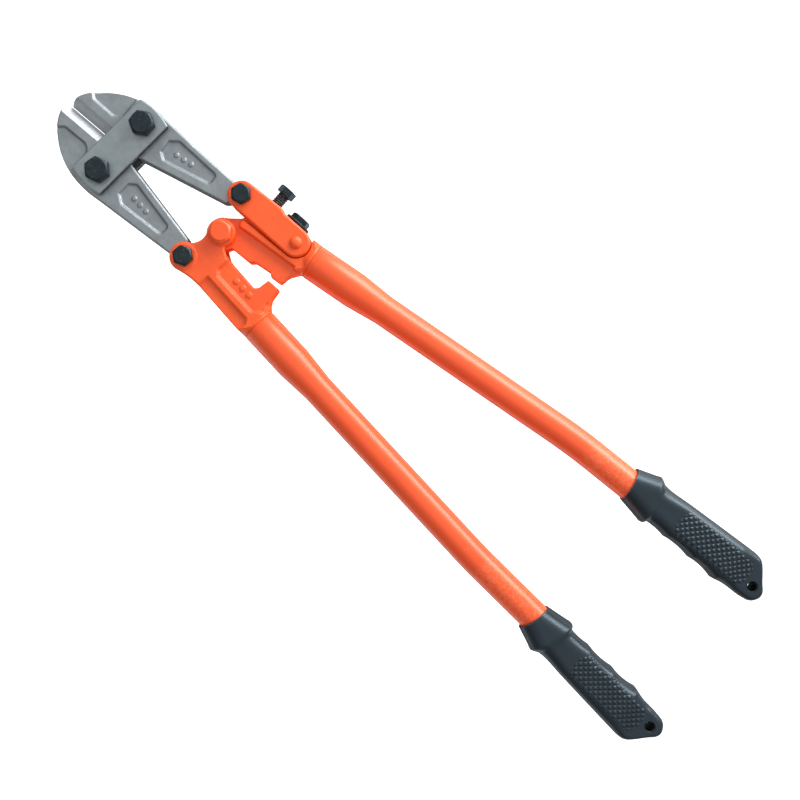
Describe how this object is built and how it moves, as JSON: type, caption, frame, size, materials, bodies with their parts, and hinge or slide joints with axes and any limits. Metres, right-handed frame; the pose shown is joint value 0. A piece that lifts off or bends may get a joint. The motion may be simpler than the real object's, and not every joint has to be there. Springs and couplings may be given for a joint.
{
  "type": "bolt cutters",
  "caption": "Long-handled bolt cutters with compound levers, side-plated jaws, an adjusting link and moulded grips, lying flat and closed.",
  "frame": {"origin": "middle of the cutting nip, on the cutting line at half thickness, 125 mm in front of the centre pivot", "axes": "+X back along the cutting line to the grips, +Y to the handle with the adjusting link, +Z out of the bolt-head side"},
  "size_m": [0.6085, 0.1618, 0.0406],
  "materials": {
    "forged_steel": "shot-blasted grey forging, ground blade",
    "plate_steel": "satin grey plate",
    "black_steel": "black oxide",
    "orange_paint": "glossy orange powder coat",
    "grip_rubber": "satin moulded"
  },
  "bodies": {
    "lower_handle": {"lower_head": "orange_paint", "lower_tube": "orange_paint", "lower_grip": "grip_rubber", "pivot_bolt": "orange_paint", "pivot_nut": "orange_paint", "lower_tail_bolt": "black_steel", "lower_tail_nut": "black_steel"},
    "upper_handle": {"upper_head": "orange_paint", "upper_tube": "orange_paint", "upper_grip": "grip_rubber", "link_rivet": "orange_paint"},
    "lower_jaw": {"lower_jaw": "forged_steel"},
    "upper_jaw": {"upper_jaw": "forged_steel"},
    "side_plates": {"front_side_plate": "plate_steel", "rear_side_plate": "plate_steel", "upper_jaw_bolt": "black_steel", "lower_jaw_bolt": "black_steel", "upper_jaw_nut": "black_steel", "lower_jaw_nut": "black_steel"},
    "adjusting_link": {"adjusting_link": "orange_paint", "upper_tail_bolt": "black_steel", "upper_tail_nut": "black_steel"},
    "adjusting_screw": {"adjusting_screw": "black_steel"},
    "lock_washer": {"lock_washer": "black_steel"},
    "lock_bolt": {"lock_bolt": "black_steel"}
  },
  "joints": [
    {"name": "centre_pivot", "type": "hinge", "parent": "lower_handle", "child": "upper_handle", "pos_m": [0.125, 0, 0], "axis": [0, 0, 1], "range_deg": [-1.6, 90]},
    {"name": "lower_tail_pivot", "type": "hinge", "parent": "lower_handle", "child": "lower_jaw", "pos_m": [0.1156, -0.02978, 0], "axis": [0, 0, 1], "range_deg": [-1, 53]},
    {"name": "lower_jaw_pivot", "type": "hinge", "parent": "lower_jaw", "child": "side_plates", "pos_m": [0.0312, -0.0225, 0], "axis": [0, 0, 1], "range_deg": [-7.3, 0.2]},
    {"name": "upper_jaw_pivot", "type": "hinge", "parent": "side_plates", "child": "upper_jaw", "pos_m": [0.03419, 0.0225, 0], "axis": [0, 0, 1], "range_deg": [-10.6, 0.3]},
    {"name": "adjusting_screw_turn", "type": "hinge", "parent": "upper_handle", "child": "adjusting_screw", "pos_m": [0.13931, 0.03903, 0], "axis": [0.0231, 0.9997, 0], "range_deg": [-120, 120]},
    {"name": "link_pivot", "type": "hinge", "parent": "upper_handle", "child": "adjusting_link", "pos_m": [0.16936, 0.02833, 0], "axis": [0, 0, 1], "range_deg": [-0.8, 0.8]},
    {"name": "lock_washer_slide", "type": "slide", "parent": "upper_handle", "child": "lock_washer", "axis": [0.0231, 0.9997, 0], "range_m": [0, 0.0013]},
    {"name": "lock_bolt_turn", "type": "hinge", "parent": "lock_washer", "child": "lock_bolt", "pos_m": [0.15981, 0.03855, 0], "axis": [0.0231, 0.9997, 0], "range_deg": [0, 360]}
  ],
  "couplings": [
    {"joint": "lower_tail_pivot", "follows": "centre_pivot", "ratio": 0.5842},
    {"joint": "lower_jaw_pivot", "follows": "centre_pivot", "ratio": -0.0793},
    {"joint": "upper_jaw_pivot", "follows": "centre_pivot", "ratio": -0.1161},
    {"joint": "link_pivot", "follows": "adjusting_screw_turn", "ratio": 0.006567},
    {"joint": "lock_washer_slide", "follows": "lock_bolt_turn", "m_per_rad": 0.00019894}
  ]
}
